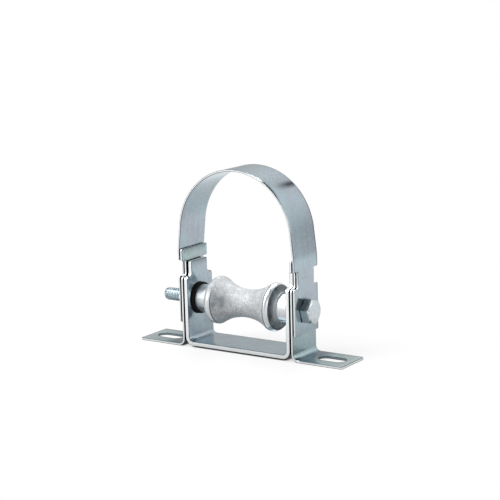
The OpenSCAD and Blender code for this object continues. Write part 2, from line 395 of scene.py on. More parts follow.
def thread_tree():
    """Rolled thread with a cone at its tip, along -X from the plain shank."""
    sizes = {"Segments": "Int", "Axle Height": "Float", "Start": "Float", "Length": "Float",
             "Radius": "Float", "Pitch": "Float", "Depth": "Float", "Cone": "Float", "Rows": "Int",
             "Finish": "Material"}
    tree, given, result = geometry_tree("rolled_thread", sizes)

    def value(operation, *values):
        return math_node(tree, operation, *values)

    grid, row, angle = turned_grid(tree, given["Rows"], given["Segments"])
    last = value("SUBTRACT", given["Rows"], 1.0)
    share = value("DIVIDE", value("SUBTRACT", row, 1.0), value("SUBTRACT", last, 2.0))
    run = value("MULTIPLY", value("MINIMUM", value("MAXIMUM", share, 0.0), 1.0), given["Length"])
    pitches = value("DIVIDE", run, given["Pitch"])
    turns = value("SUBTRACT", pitches, value("DIVIDE", angle, math.tau))
    ridge = value("PINGPONG", value("MULTIPLY", turns, 2.0), 1.0)
    groove = falling(tree, ridge, THREAD_FLANK)
    fade = rising(tree, pitches, THREAD_RUN_OUT)
    cut = value("MULTIPLY", value("MULTIPLY", groove, fade), given["Depth"])
    full = value("SUBTRACT", given["Radius"], cut)
    into_cone = value("SUBTRACT", given["Cone"], value("SUBTRACT", given["Length"], run))
    cone_r = value("SUBTRACT", given["Radius"], value("MULTIPLY", into_cone, TIP_CONE_SLOPE))
    inside_ends = value("MULTIPLY", value("GREATER_THAN", row, 0.5),
                        value("LESS_THAN", row, value("SUBTRACT", last, 0.5)))
    radius = value("MULTIPLY", value("MINIMUM", full, cone_r), inside_ends)
    x = value("SUBTRACT", given["Start"], run)
    closed_round(tree, grid, x, radius, angle, given, result)
    return tree


def made_by(tree, base, name, **values):
    """Plain mesh that a tree makes from a base mesh, with each named input set."""
    holder = bpy.data.objects.new(name + "_base", base)
    bpy.context.scene.collection.objects.link(holder)
    modifier = holder.modifiers.new(tree.name, "NODES")
    modifier.node_group = tree
    sockets = {item.name: item.identifier for item in tree.interface.items_tree if item.in_out == "INPUT"}
    for label, value in values.items():
        modifier[sockets[label.replace("_", " ")]] = value
    bpy.context.view_layer.update()
    evaluated = holder.evaluated_get(bpy.context.evaluated_depsgraph_get())
    mesh = bpy.data.meshes.new_from_object(evaluated)
    bpy.data.objects.remove(holder)
    mesh.name = name
    return mesh


# Mesh helpers

def rounded(points):
    """Closed outline of (along, across, corner radius) points with each corner turned into an arc."""
    outline = []
    count = len(points)
    for i, (x, y, radius) in enumerate(points):
        here = Vector((x, y))
        before = (Vector(points[i - 1][:2]) - here).normalized()
        after = (Vector(points[(i + 1) % count][:2]) - here).normalized()
        start, end = here + before * radius, here + after * radius
        centre = start + after * radius
        for share in steps_between(0, QUARTER, CORNER_STEPS):
            outline.append(centre + (start - centre) * math.cos(share) + (end - centre) * math.sin(share))
    return outline


def stepped_strip(stations):
    """Outline of a strip from (along, half width, corner radius) stations, in order along it."""
    near = [(s, -half, radius) for s, half, radius in stations]
    far = [(s, half, radius) for s, half, radius in reversed(stations)]
    return rounded(near + far)


def hole_outline(along, half_length, radius):
    """Round hole, or a slot with round ends where the half length is larger than the radius."""
    straight = half_length - radius
    outline = []
    for side in (1, -1):
        for angle in steps_between(QUARTER, -QUARTER, HOLE_STEPS):
            outline.append(Vector((along + side * (straight + radius * math.cos(angle)),
                                   side * radius * math.sin(angle))))
    return [p for i, p in enumerate(outline) if (p - outline[i - 1]).length > SAME_POINT]


def inset(outline, distance):
    """Outline moved to its left by a distance."""
    moved = []
    count = len(outline)
    for i, here in enumerate(outline):
        into = (here - outline[i - 1]).normalized()
        out = (outline[(i + 1) % count] - here).normalized()
        first, second = Vector((-into.y, into.x)), Vector((-out.y, out.x))
        moved.append(here + (first + second) * (distance / (1 + first.dot(second))))
    return moved


def flat_blank(name, outline, holes, sheet, rows):
    """Punched flat blank with rounded edges, cut across at the rows where it will bend."""
    bm = bmesh.new()
    rim = bm.faces.layers.float.new("rim")
    arris = bm.faces.layers.float.new("arris")
    steps = steps_between(0, QUARTER, EDGE_STEPS)
    lower = [(EDGE_R * (1 - math.sin(a)), EDGE_R * (1 - math.cos(a))) for a in steps]
    upper = [(distance, sheet - height) for distance, height in reversed(lower)]
    face_edges = {0: [], len(lower + upper) - 1: []}
    for loop in [outline] + holes:
        sheared = 1.0 if loop is outline else 0.0
        rings = []
        for distance, height in lower + upper:
            rings.append([bm.verts.new((p.x, p.y, height)) for p in inset(loop, distance)])
        count = len(loop)
        for k, (first, second) in enumerate(zip(rings, rings[1:])):
            flat = k == len(lower) - 1
            for i in range(count):
                j = (i + 1) % count
                face = bm.faces.new((first[i], first[j], second[j], second[i]))
                face[rim] = sheared if flat else 0.0
                # The arris share sets how much painted edge shade a face takes: all on the rounded bands,
                # HOLE_WALL_SHADE on hole walls, none on the outer sheared edge.
                face[arris] = (0.0 if sheared else HOLE_WALL_SHADE) if flat else 1.0
        for ring_index, edges in face_edges.items():
            ring = rings[ring_index]
            edges += [bm.edges.get((ring[i], ring[(i + 1) % count])) for i in range(count)]
    for edges in face_edges.values():
        bmesh.ops.triangle_fill(bm, use_beauty=True, use_dissolve=False, edges=edges)
    for row in rows:
        everything = bm.verts[:] + bm.edges[:] + bm.faces[:]
        bmesh.ops.bisect_plane(bm, geom=everything, dist=SAME_POINT, plane_co=(row, 0, 0),
                               plane_no=(1, 0, 0))
    bmesh.ops.recalc_face_normals(bm, faces=bm.faces)
    mesh = bpy.data.meshes.new(name)
    bm.to_mesh(mesh)
    bm.free()
    return mesh


def steps_between(low, high, count):
    """Evenly spaced values from low to high, both included."""
    return [low + (high - low) * k / count for k in range(count + 1)]


def bend_rows(start, inside_r, sheet):
    """Places along a blank where a quarter bend that starts there needs a row of points."""
    return steps_between(start, start + (inside_r + sheet / 2) * QUARTER, BEND_ROWS)


def ring_shell(name, rings, finish, ends_closed=True, turn=0.0):
    """Closed shell from rings of (x, radius) points round the axle, turned about it by an angle."""
    bm = bmesh.new()
    count = len(rings[0])
    made = []
    for ring in rings:
        angles = [turn + math.tau * k / count for k in range(count)]
        made.append([bm.verts.new((x, r * math.cos(a), AXLE_Z + r * math.sin(a)))
                     for (x, r), a in zip(ring, angles)])
    pairs = list(zip(made, made[1:]))
    if not ends_closed:
        pairs.append((made[-1], made[0]))
    for first, second in pairs:
        for i in range(count):
            j = (i + 1) % count
            bm.faces.new((first[i], first[j], second[j], second[i]))
    if ends_closed:
        bm.faces.new(made[0])
        bm.faces.new(made[-1])
    bmesh.ops.recalc_face_normals(bm, faces=bm.faces)
    mesh = bpy.data.meshes.new(name)
    bm.to_mesh(mesh)
    bm.free()
    mesh.materials.append(finish)
    return mesh


def outline_mesh(name, points):
    """Open line of points, which the lathe turns."""
    mesh = bpy.data.meshes.new(name)
    mesh.from_pydata([(x, r, 0) for x, r in points], [(i, i + 1) for i in range(len(points) - 1)], [])
    return mesh


def arc_points(centre, radius, start, end, count):
    """Points of an arc, from one angle to another, in degrees."""
    angles = [math.radians(a) for a in steps_between(start, end, count)]
    return [(centre[0] + radius * math.cos(a), centre[1] + radius * math.sin(a)) for a in angles]


def outward(mesh):
    """Turns every face of a closed mesh outwards."""
    bm = bmesh.new()
    bm.from_mesh(mesh)
    bmesh.ops.recalc_face_normals(bm, faces=bm.faces)
    bm.to_mesh(mesh)
    bm.free()
    return mesh


def piece(name, mesh, body, node, sharp_angle=STRIP_SHARP_ANGLE):
    """Shows a finished mesh in place of a CAD node, on that node's body."""
    mesh.shade_smooth()
    mesh.set_sharp_from_angle(angle=math.radians(sharp_angle))
    made = bpy.data.objects.new(name, mesh)
    bpy.context.scene.collection.objects.link(made)
    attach(made, body)
    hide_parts(node)
    return made


# Shader groups that more than one material uses

def shader_group(name, inputs, outputs):
    """Empty shader node group with named float, colour and vector sockets."""
    group = bpy.data.node_groups.new(name, "ShaderNodeTree")
    for label, kind in inputs.items():
        group.interface.new_socket(label, in_out="INPUT", socket_type="NodeSocket" + kind)
    for label, kind in outputs.items():
        group.interface.new_socket(label, in_out="OUTPUT", socket_type="NodeSocket" + kind)
    return group, group.nodes.new("NodeGroupInput").outputs, group.nodes.new("NodeGroupOutput").inputs


NOISE_SPAN = (0.30, 0.70)


def plating_group():
    """Zinc plating: soft clouds of tint and shade, fine rolling lines and a fine crystal grain."""
    inputs = {"Place": "Vector", "Tone": "Color", "Cool": "Color", "Warm": "Color", "Along": "Vector"}
    outputs = {"Colour": "Color", "Roughness": "Float", "Height": "Float"}
    group, given, result = shader_group("zinc_plating", inputs, outputs)
    place = given["Place"]
    cloud = noise(group, place, scale=52.0, detail=3.0, roughness=0.55)
    drift = noise(group, place, scale=21.0, detail=2.0, distortion=0.6)
    mottle = noise(group, place, scale=420.0, detail=3.0, roughness=0.6)
    stretched = vector_node(group, "MULTIPLY", place, given["Along"])[0]
    lines = noise(group, stretched, scale=1.0, detail=4.0, roughness=0.6)
    grain = noise(group, place, scale=1500.0, detail=2.0)
    cooled = mix_colour(group, remap(group, cloud, 0.40, 0.66, 0.0, 1.0), given["Tone"], given["Cool"])
    warmed = mix_colour(group, remap(group, drift, 0.50, 0.68, 0.0, 0.8), cooled, given["Warm"])
    broad = remap(group, drift, *NOISE_SPAN, 1.08, 0.90)
    soft = remap(group, cloud, *NOISE_SPAN, 0.93, 1.07)
    fine = remap(group, mottle, *NOISE_SPAN, 0.93, 1.07)
    streak = remap(group, lines, *NOISE_SPAN, 0.92, 1.08)
    level = multiply(group, multiply(group, broad, soft), multiply(group, fine, streak))
    shade = add(group, "ShaderNodeCombineXYZ", {0: level, 1: level, 2: level}).outputs[0]
    group.links.new(mix_colour(group, 1.0, warmed, shade, blend="MULTIPLY"), result["Colour"])
    rough = math_node(group, "MULTIPLY_ADD", lines, 0.08, multiply(group, mottle, 0.10))
    group.links.new(rough, result["Roughness"])
    height = math_node(group, "MULTIPLY_ADD", lines, 0.6, multiply(group, grain, 0.4))
    group.links.new(math_node(group, "MULTIPLY_ADD", mottle, 0.8, height), result["Height"])
    return group


def turning_group():
    """Fine lines that a lathe leaves round the axle, as a height and as a share of light and dark."""
    group, given, result = shader_group("turning_lines", {"Place": "Vector", "Lines": "Float"},
                                        {"Height": "Float", "Share": "Float"})
    x, _, _ = axes_of(group, given["Place"])
    along = add(group, "ShaderNodeCombineXYZ", {0: multiply(group, x, given["Lines"])}).outputs[0]
    rings = noise(group, along, scale=1.0, detail=5.0, roughness=0.7)
    group.links.new(rings, result["Height"])
    group.links.new(remap(group, rings, 0.35, 0.65, 0.0, 1.0), result["Share"])
    return group


PLATING = plating_group()
TURNING = turning_group()


def new_material(name):
    """Material with a Principled shader, and its tree and shader."""
    material = bpy.data.materials.new(name)
    material.use_nodes = True
    shader = material.node_tree.nodes["Principled BSDF"]
    return material, material.node_tree, shader


def bump(tree, shader, height, distance):
    """Feeds a height to a shader's normal."""
    relief = add(tree, "ShaderNodeBump", {"Height": height, "Distance": distance, "Strength": 1.0})
    tree.links.new(relief.outputs[0], shader.inputs["Normal"])


def object_place(tree):
    """Place on the part."""
    return add(tree, "ShaderNodeTexCoord").outputs["Object"]


def zinc_coat(tree, place, tones, stretch):
    """Zinc plating in a tone, a cool tone and a warm tone, with lines that run by a stretch."""
    tone, cool, warm = tones
    inputs = {"Place": place, "Tone": tone, "Cool": cool, "Warm": warm, "Along": stretch}
    return add(tree, "ShaderNodeGroup", inputs, node_tree=PLATING).outputs


def turning_lines(tree, place, lines):
    """Turning lines, so many to the metre."""
    return add(tree, "ShaderNodeGroup", {"Place": place, "Lines": lines}, node_tree=TURNING).outputs


def painted_reflection_share(tree, along, across, through, share):
    """Share of painted dark reflection on a strip's outer face: a spot at one place and a line along the
    far edge.
    """
    reflection_spot = remap(tree, apart(tree, along, STRAP_REFLECTION_ALONG), *STRAP_REFLECTION_FADE, share, 0.0)
    streak = multiply(tree, reflection_spot, rising(tree, across, STRAP_REFLECTION_ACROSS))
    far_edge = remap(tree, across, *FAR_EDGE_ACROSS, 0.0, FAR_EDGE_SHARE * share)
    outer = math_node(tree, "LESS_THAN", through, STRAP_T / 2)
    return multiply(tree, math_node(tree, "MAXIMUM", streak, far_edge), outer)


def less_edge_shade(tree):
    """Share where the painted shade on rounded edges is lighter: low on the right, where foot and strap
    meet, and in front, right on the arch.
    """
    x, y, z = axes_of(tree, object_place(tree))
    upright = multiply(tree, rising(tree, x, UPRIGHT_FROM_X), falling(tree, x, UPRIGHT_TO_X))
    low = multiply(tree, upright, falling(tree, z, LESS_EDGE_SHADE_LOW_Z))
    front = math_node(tree, "LESS_THAN", y, 0.0)
    right_front = multiply(tree, rising(tree, x, ARCH_FROM_X), front)
    arch = multiply(tree, remap(tree, z, *LESS_EDGE_SHADE_ARCH_Z, 0.0, LESS_EDGE_SHADE_ARCH_SHARE), right_front)
    return math_node(tree, "MAXIMUM", low, arch)


def plated_strip(name, tones, reflection_darkness=0.0, closed_to=0.0, tip_to_bend=0.0):
    """Bright zinc on rolled strip, with paler sheared edges, painted shade on its rounded edges and a
    painted dark reflection on the outer face.

    Up to closed_to in its thickness, a face that another fixed strip covers closely is darkened with
    painted shade from ambient occlusion.
    With tip_to_bend, the upper face of a foot has a painted highlight towards its tip and a painted dark
    reflection of the upright before its bend.
    """
    material, tree, shader = new_material(name)
    place = add(tree, "ShaderNodeAttribute", attribute_name="blank").outputs["Vector"]
    coat = zinc_coat(tree, place, tones, ROLLED_STRETCH)
    rim = add(tree, "ShaderNodeAttribute", attribute_name="rim").outputs["Fac"]
    arris = add(tree, "ShaderNodeAttribute", attribute_name="arris").outputs["Fac"]
    along, across, through = axes_of(tree, place)
    # Painted dark reflection on the strap's outer face.
    strap_reflected = mix_colour(tree, painted_reflection_share(tree, along, across, through, reflection_darkness), coat["Colour"], rgb(50, 57, 64))
    upper = multiply(tree, math_node(tree, "GREATER_THAN", through, FOOT_T / 2), tip_to_bend)
    # Painted highlight towards the tip of a foot's upper face.
    tip_highlight_share = multiply(tree, remap(tree, along, *TIP_HIGHLIGHT_ALONG, TIP_HIGHLIGHT_SHARE, 0.0), upper)
    tip_highlighted = mix_colour(tree, tip_highlight_share, strap_reflected, rgb(206, 220, 219))
    # Painted dark reflection of the upright on a foot's upper face before its bend.
    before_bend = multiply(tree, remap(tree, along, *BEND_REFLECTION_FROM_ALONG, 0.0, BEND_REFLECTION_SHARE),
                           falling(tree, along, BEND_REFLECTION_TO_ALONG))
    bend_reflected = mix_colour(tree, multiply(tree, before_bend, upper), tip_highlighted, rgb(70, 92, 108))
    sheared = mix_colour(tree, rim, bend_reflected, rgb(240, 243, 244))
    # Painted shade on rounded edges: a dark tone, lighter where the share above is high.
    edge_shade_tone = mix_colour(tree, less_edge_shade(tree), rgb(72, 80, 86), rgb(190, 198, 202))
    edge_shaded = mix_colour(tree, arris, sheared, edge_shade_tone)
    # Painted shade, from ambient occlusion, in the narrow gaps between fixed strips.
    gap_shade = multiply(tree, remap(tree, openness(tree, GAP_SHADE_REACH), *GAP_SHADE_RANGE, GAP_SHADE_SHARE, 0.0),
                       math_node(tree, "LESS_THAN", through, closed_to))
    tree.links.new(mix_colour(tree, gap_shade, edge_shaded, rgb(12, 14, 16)), shader.inputs["Base Color"])
    face_rough = math_node(tree, "ADD", coat["Roughness"], 0.10)
    tree.links.new(math_node(tree, "MULTIPLY_ADD", rim, 0.14, face_rough), shader.inputs["Roughness"])
    shader.inputs["Metallic"].default_value = 1.0
    bump(tree, shader, coat["Height"], STRIP_RELIEF)
    return material


def plated_steel(name, tones, lines):
    """Bright zinc on turned steel, with fine turning lines."""
    material, tree, shader = new_material(name)
    place = object_place(tree)
    coat = zinc_coat(tree, place, tones, EVEN_STRETCH)
    turned = turning_lines(tree, place, lines)
    tree.links.new(coat["Colour"], shader.inputs["Base Color"])
    tree.links.new(math_node(tree, "ADD", coat["Roughness"], 0.12), shader.inputs["Roughness"])
    shader.inputs["Metallic"].default_value = 1.0
    height = math_node(tree, "MULTIPLY_ADD", turned["Height"], 0.5, coat["Height"])
    bump(tree, shader, height, STEEL_RELIEF)
    return material


def roller_zones(tree, place):
    """Shares of machined metal, of painted shade on the right crest's outer flank and of painted groove
    shade on the roller.
    """
    x, _, z = axes_of(tree, place)
    out = apart(tree, x, FINISH_MIDDLE_X)
    right = rising(tree, x, RIGHT_FROM_X)
    # The left crest has kept its cast skin on the side that is uppermost at rest.
    turned_side = math_node(tree, "MAXIMUM", right, falling(tree, z, CAST_SKIN_Z))
    ring = multiply(tree, rising(tree, out, BAND_FROM_OUT), falling(tree, out, BAND_TO_OUT))
    hub = rising(tree, out, HUB_FROM_OUT)
    machined = math_node(tree, "MAXIMUM", multiply(tree, ring, turned_side), hub)
    # Painted shade on the outer flank, on the right crest only.
    flank = multiply(tree, rising(tree, out, FLANK_FROM_OUT), math_node(tree, "SUBTRACT", 1.0, hub))
    # Painted groove shade: a dark ring where the shape has no groove.
    groove = multiply(tree, falling(tree, apart(tree, out, GROOVE_SHADE_OUT), GROOVE_SHADE_FADE), turned_side)
    return machined, multiply(tree, flank, right), groove


def cast_metal(name):
    """Plated cast iron: matt mottled skin with fine pits, bright turned bands at crests and hubs, painted
    shade on the right crest's outer flank and at a groove line, and a painted dark reflection on the
    saddle.
    """
    material, tree, shader = new_material(name)
    place = object_place(tree)
    machined, painted_flank_shade, groove = roller_zones(tree, place)
    mottle = noise(tree, place, scale=170.0, detail=5.0, roughness=0.62)
    patch = noise(tree, place, scale=48.0, detail=2.0)
    skin = noise(tree, place, scale=1200.0, detail=4.0, roughness=0.7)
    pits = add(tree, "ShaderNodeTexVoronoi", {"Vector": place, "Scale": 420.0}).outputs[0]
    turned = turning_lines(tree, place, 1500.0)
    mottled = remap(tree, mottle, 0.36, 0.66, 0.0, 1.0)
    pale = mix_colour(tree, mottled, rgb(202, 205, 207), rgb(230, 233, 235))
    speckled = mix_colour(tree, remap(tree, skin, 0.42, 0.60, 0.56, 0.0), pale, rgb(122, 126, 130))
    patched = mix_colour(tree, remap(tree, patch, 0.50, 0.72, 0.0, 0.45), speckled, rgb(176, 175, 174))
    # Painted dark reflection on the left of the saddle, streaked by the mottle.
    near_saddle_reflection = falling(tree, length_from(tree, place, SADDLE_REFLECTION_PLACE, (1, 1, 1)), SADDLE_REFLECTION_FADE)
    saddle_reflection_share = multiply(tree, near_saddle_reflection, remap(tree, mottle, 0.40, 0.60, 1.0, 0.45))
    saddle_reflected = mix_colour(tree, saddle_reflection_share, patched, rgb(118, 124, 130))
    # Painted shade on the right crest's outer flank: dark near the band, lighter towards the collar.
    from_axle = length_from(tree, place, (0, 0, AXLE_Z), (0, 1, 1))
    flank_shade_start = remap(tree, from_axle, *FLANK_RADII, 0.1, -0.85)
    flank_shade_amount = math_node(tree, "MULTIPLY_ADD", mottle, 1.8, flank_shade_start)
    flank_shade_tone = mix_colour(tree, flank_shade_amount, rgb(74, 81, 86), rgb(178, 184, 188))
    flank_shaded = mix_colour(tree, painted_flank_shade, saddle_reflected, flank_shade_tone)
    # Painted groove shade, darker at the inner edge of each band.
    groove_shaded = mix_colour(tree, groove, flank_shaded, rgb(84, 88, 92))
    bright = mix_colour(tree, turned["Share"], rgb(204, 208, 212), rgb(234, 236, 238))
    tree.links.new(mix_colour(tree, machined, groove_shaded, bright), shader.inputs["Base Color"])
    matt = remap(tree, mottle, *NOISE_SPAN, 0.64, 0.52)
    tree.links.new(between(tree, machined, matt, 0.38), shader.inputs["Roughness"])
    tree.links.new(between(tree, machined, 0.28, 1.0), shader.inputs["Metallic"])
    rough_skin = math_node(tree, "MULTIPLY_ADD", mottle, 1.6, multiply(tree, skin, 0.5))
    hollow = remap(tree, pits, 0.0, 0.22, -0.5, 0.0)
    lined = multiply(tree, turned["Height"], 0.35)
    height = between(tree, machined, math_node(tree, "ADD", rough_skin, hollow), lined)
    bump(tree, shader, height, CAST_RELIEF)
    return material


def black_washer(name):
    """Moulded black washer with a slightly worn, dusty skin."""
    material, tree, shader = new_material(name)
    place = object_place(tree)
    haze = noise(tree, place, scale=240.0, detail=4.0)
    skin = noise(tree, place, scale=1900.0, detail=2.0)
    colour = mix_colour(tree, remap(tree, haze, 0.45, 0.75, 0.0, 1.0), rgb(10, 10, 12), rgb(26, 27, 30))
    tree.links.new(colour, shader.inputs["Base Color"])
    tree.links.new(remap(tree, haze, *NOISE_SPAN, 0.55, 0.75), shader.inputs["Roughness"])
    shader.inputs["Specular IOR Level"].default_value = 0.15
    bump(tree, shader, skin, WASHER_RELIEF)
    return material


STRIP_TONES = (rgb(166, 181, 187), rgb(158, 176, 186), rgb(170, 177, 187))
FOOT_TONES = (rgb(162, 182, 184), rgb(155, 176, 181), rgb(169, 181, 184))
BOLT_TONES = (rgb(200, 209, 212), rgb(191, 203, 209), rgb(205, 210, 211))
TUBE_TONES = (rgb(168, 172, 174), rgb(150, 156, 160), rgb(180, 178, 172))
ZINC_STRIP = plated_strip("zinc_strip", STRIP_TONES, closed_to=2 * CHANNEL_T)
ZINC_STRAP = plated_strip("zinc_strap", STRIP_TONES, reflection_darkness=1.0)
ZINC_FOOT = plated_strip("zinc_foot", FOOT_TONES, closed_to=FOOT_T / 2, tip_to_bend=1.0)
ZINC_BOLT = plated_steel("zinc_bolt", BOLT_TONES, 2600.0)
DRAWN_TUBE = plated_steel("drawn_tube", TUBE_TONES, 900.0)
CAST_ROLLER = cast_metal("cast_roller")
BLACK_WASHER = black_washer("black_washer")

PRESS_BRAKE = press_brake_tree()
LATHE = lathe_tree()
ROLLED_THREAD = thread_tree()


# Pieces of bent strip

def half_turn(axis):
    """Rotation input of half a turn about an axis."""
    return tuple(math.pi if name == axis else 0.0 for name in "XYZ")


def bent_strip(name, node, body, blank, finish, sizes, turn, place):
    """Bends a blank, puts it where its CAD node is and shows it there."""
    mesh = made_by(PRESS_BRAKE, blank, name, Turn=turn, Place=place, Finish=finish, **sizes)
    return piece(name, outward(mesh), body, node)


def square_bend(flat_half, inside_r, sheet):
    """Press brake sizes for plain square bends."""
    return {"Flat_Half": flat_half, "Inside_Radius": inside_r, "First_Bend": QUARTER, "Straight_Run": 0.0,
            "Second_Radius": inside_r, "Thickness": sheet}


def strap_piece():
    """Arch over the pipe whose legs lean out to upright tails, with a waist in each leg."""
    inside_half = STRAP_HIGH.x - STRAP_T
    drop = STRAP_HIGH.z - STRAP_T - ARCH_R - LEAN_Z
    reach = math.hypot(inside_half, drop)
    lean = math.acos(ARCH_R / reach) - math.atan2(drop, inside_half)
    trim = LEAN_BEND_R * math.tan(lean / 2)
    run = math.sqrt(reach ** 2 - ARCH_R ** 2) - trim
    arc = (ARCH_R + STRAP_T / 2) * (QUARTER - lean)
    bend_start = arc + run
    bend_end = bend_start + (LEAN_BEND_R + STRAP_T / 2) * lean

    def at(z):
        return bend_end + LEAN_Z - trim - z

    leg = [(at(WAIST_TOP_Z), STRIP_HALF, CORNER_R), (at(WAIST_TOP_Z), WAIST_HALF, CORNER_R),
           (at(SHOULDER_Z), WAIST_HALF, CORNER_R), (at(SHOULDER_Z), STRIP_HALF, CORNER_R),
           (at(STRAP_LOW.z), STRIP_HALF, CORNER_R)]
    stations = [(-s, half, radius) for s, half, radius in reversed(leg)] + leg
    holes = [hole_outline(side * at(AXLE_Z), AXLE_HOLE_R, AXLE_HOLE_R) for side in (-1, 1)]
    bend = steps_between(bend_start, bend_end, LEAN_ROWS)
    rows = steps_between(-arc, arc, ARCH_ROWS) + bend + [-s for s in bend]
    blank = flat_blank("strap_blank", stepped_strip(stations), holes, STRAP_T, rows)
    sizes = {"Flat_Half": 0.0, "Inside_Radius": ARCH_R, "First_Bend": QUARTER - lean, "Straight_Run": run,
             "Second_Radius": LEAN_BEND_R, "Thickness": STRAP_T}
    place = (0, 0, STRAP_HIGH.z)
    return bent_strip("plated_strap", "strap", "strap", blank, ZINC_STRAP, sizes, half_turn("Y"), place)


def channel_piece():
    """Thick channel that carries the axle, with a tab on each leg."""
    inside_half = CHANNEL_HIGH.x - CHANNEL_T
    flat_half = inside_half - CHANNEL_BEND_R
    bend_top = CHANNEL_LOW.z + CHANNEL_T + CHANNEL_BEND_R
    bend_end = flat_half + (CHANNEL_BEND_R + CHANNEL_T / 2) * QUARTER

    def at(z):
        return bend_end + z - bend_top

    leg = [(at(SHOULDER_Z), STRIP_HALF, SHOULDER_R), (at(SHOULDER_Z), TAB_HALF, SHOULDER_R),
           (at(CHANNEL_HIGH.z), TAB_HALF, CORNER_R)]
    stations = [(-s, half, radius) for s, half, radius in reversed(leg)] + leg
    holes = [hole_outline(side * at(AXLE_Z), AXLE_HOLE_R, AXLE_HOLE_R) for side in (-1, 1)]
    bend = bend_rows(flat_half, CHANNEL_BEND_R, CHANNEL_T)
    rows = [-s for s in bend] + bend
    blank = flat_blank("channel_blank", stepped_strip(stations), holes, CHANNEL_T, rows)
    sizes = square_bend(flat_half, CHANNEL_BEND_R, CHANNEL_T)
    place = (0, 0, CHANNEL_LOW.z)
    return bent_strip("plated_channel", "base_channel", "stand", blank, ZINC_STRIP, sizes, (0, 0, 0), place)


def foot_piece(name, node, side):
    """Slotted foot whose upright ends in a neck and a T-shaped head."""
    flat_half = FOOT_FLAT_HALF
    bend_top = FOOT_T + FOOT_BEND_R
    bend_end = flat_half + (FOOT_BEND_R + FOOT_T / 2) * QUARTER

    def at(z):
        return bend_end + z - bend_top

    stations = [(-flat_half, STRIP_HALF, TIP_CORNER_R),
                (at(SHOULDER_Z), STRIP_HALF, SHOULDER_R), (at(SHOULDER_Z), NECK_HALF, SHOULDER_R),
                (at(NECK_TOP_Z), NECK_HALF, CORNER_R), (at(NECK_TOP_Z), STRIP_HALF, CORNER_R),
                (at(FOOT_HIGH.z), STRIP_HALF, CORNER_R)]
    holes = [hole_outline(at(AXLE_Z), AXLE_HOLE_R, AXLE_HOLE_R),
             hole_outline(SLOT_FROM_TIP - flat_half, SLOT_HALF_L, SLOT_HALF_W)]
    rows = bend_rows(flat_half, FOOT_BEND_R, FOOT_T)
    blank = flat_blank(name + "_blank", stepped_strip(stations), holes, FOOT_T, rows)
    turn = half_turn("Z") if side > 0 else (0, 0, 0)
    place = (side * (FOOT_HIGH.x - flat_half), 0, 0)
    sizes = square_bend(flat_half, FOOT_BEND_R, FOOT_T)
    return bent_strip(name, node, "stand", blank, ZINC_FOOT, sizes, turn, place)


# Turned and forged pieces

def turned_piece(name, node, body, outline, finish, segments=RING_SEGMENTS):
    """Turns a closed outline and shows it in place of its CAD node."""
    base = outline_mesh(name + "_outline", outline + outline[:1])
    mesh = made_by(LATHE, base, name, Segments=segments, Axle_Height=AXLE_Z, Finish=finish)
    return piece(name, outward(mesh), body, node)


def ring_outline(x0, x1, bore_r, outer_r):
    """Outline of a plain ring with its four edges rounded."""
    edge = RING_EDGE_R
    corners = [((x1 - edge, outer_r - edge), 90, 0), ((x1 - edge, bore_r + edge), 0, -90),
               ((x0 + edge, bore_r + edge), 270, 180), ((x0 + edge, outer_r - edge), 180, 90)]
    outline = []
    for centre, start, end in corners:
        outline += arc_points(centre, edge, start, end, ROUND_STEPS)
    return outline


def roller_piece():
    """Hourglass roller: saddle, two round crests, collars and hubs."""
    half = ROLLER_HIGH.x
    crest_r = ROLLER_HIGH.y
    crest_axis = crest_r - CREST_R
    rise = crest_r - ROLLER_WAIST_R
    saddle_r = (CREST_HALF_SPAN ** 2 + (CREST_R - rise) ** 2 - CREST_R ** 2) / (2 * rise)
    lean = math.degrees(math.asin(CREST_HALF_SPAN / (CREST_R + saddle_r)))
    saddle = arc_points((0, ROLLER_WAIST_R + saddle_r), saddle_r, 270, 270 + lean, SADDLE_STEPS)
    crest = arc_points((CREST_HALF_SPAN, crest_axis), CREST_R, 90 + lean, 0, CREST_STEPS)[1:]
    face_x = CREST_HALF_SPAN + CREST_R
    collar_x = face_x + COLLAR_L
    edge = 0.35 * MM
    fillet = 0.9 * MM
    side = crest + arc_points((face_x + fillet, COLLAR_R + fillet), fillet, 180, 270, FILLET_STEPS)
    side += arc_points((collar_x - edge, COLLAR_R - edge), edge, 90, 0, ROUND_STEPS)
    side += arc_points((collar_x + edge, HUB_R + edge), edge, 180, 270, ROUND_STEPS)
    side += arc_points((half - edge, HUB_R - edge), edge, 90, 0, ROUND_STEPS)
    side += [(half, ROLLER_BORE_R)]
    right = saddle + side
    left = [(-x, r) for x, r in reversed(right[1:])]
    outline = left + right
    return turned_piece("cast_hourglass_roller", "roller", "roller", outline, CAST_ROLLER,
                        ROLLER_SEGMENTS)


def washer_piece(name, node, side):
    """Black washer between a hub and the channel."""
    x0, x1 = sorted((side * WASHER_LOW.x, side * WASHER_HIGH.x))
    outline = ring_outline(x0, x1, WASHER_BORE_R, WASHER_HIGH.z - AXLE_Z)
    return turned_piece(name, node, "stand", outline, BLACK_WASHER)


def sleeve_piece():
    """Distance tube that the roller turns on."""
    outline = ring_outline(SLEEVE_LOW.x, SLEEVE_HIGH.x, TUBE_BORE_R, SLEEVE_HIGH.z - AXLE_Z)
    return turned_piece("distance_tube", "axle_sleeve", "stand", outline, DRAWN_TUBE)


def hex_radius(angle):
    """Radius of a hexagon with a corner along Y, at an angle round the axle."""
    return HEX_HALF / math.cos(angle % (math.pi / 3) - math.pi / 6)


